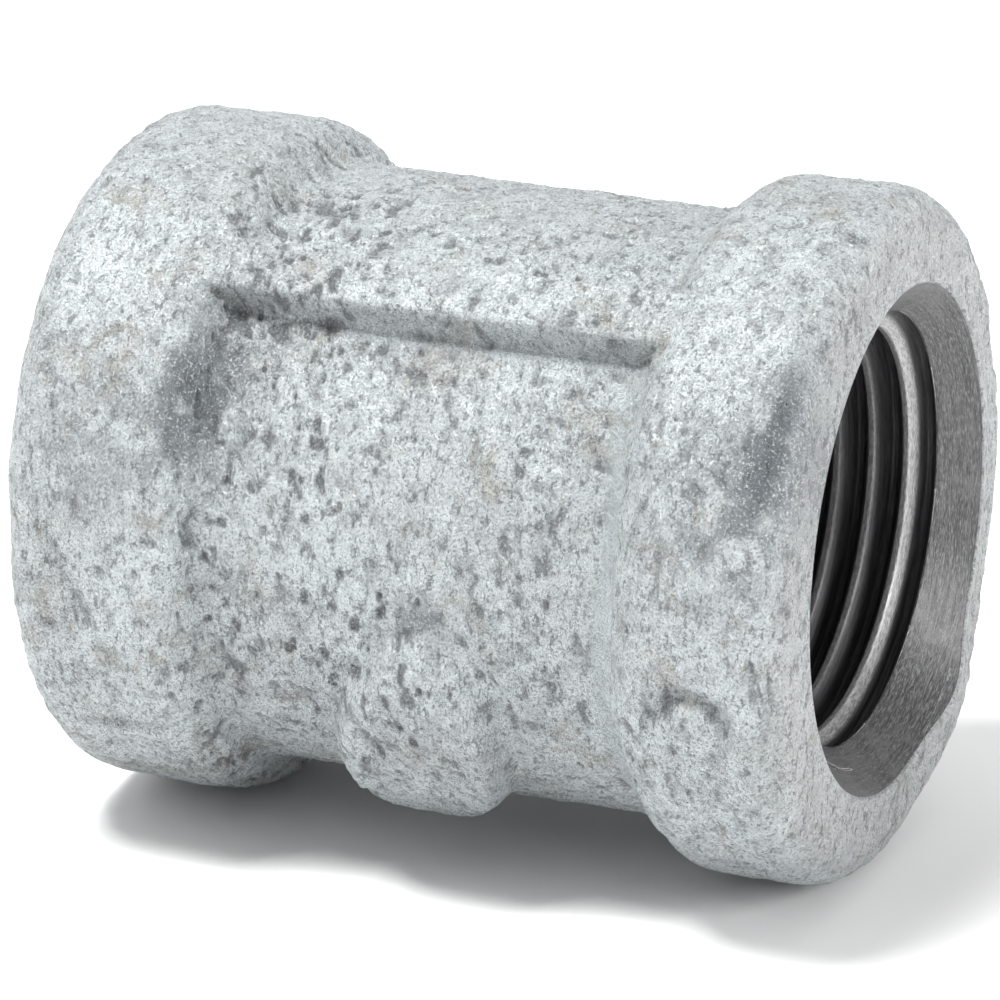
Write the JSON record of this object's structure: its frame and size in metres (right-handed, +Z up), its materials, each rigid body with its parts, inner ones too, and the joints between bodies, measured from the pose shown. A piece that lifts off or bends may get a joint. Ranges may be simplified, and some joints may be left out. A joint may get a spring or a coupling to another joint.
{
  "type": "threaded pipe socket",
  "caption": "Straight galvanised malleable-iron pipe socket with rounded end bands, longitudinal ribs and internal parallel pipe threads.",
  "frame": {"origin": "on the bore axis, midway between the two end faces", "axes": "+X along the bore axis, out of the near mouth; -Y the front, which carries the gate stub below and a rib above; +Z up"},
  "size_m": [0.03, 0.0252, 0.0252],
  "materials": {
    "bare_iron": "machined bare iron: turned countersinks and cut threads, mid grey with fine circular tool marks",
    "zinc_outside": "hot-dip zinc over rough cast iron: pale bluish grey with dark speckle, pits and faint khaki stains",
    "zinc_inside": "dull hot-dip zinc on a cored wall, a little darker than the outside"
  },
  "bodies": {
    "root": {"iron_casting": "bare_iron", "zinc_outer_skin": "zinc_outside", "zinc_waist_lining": "zinc_inside"}
  },
  "joints": []
}
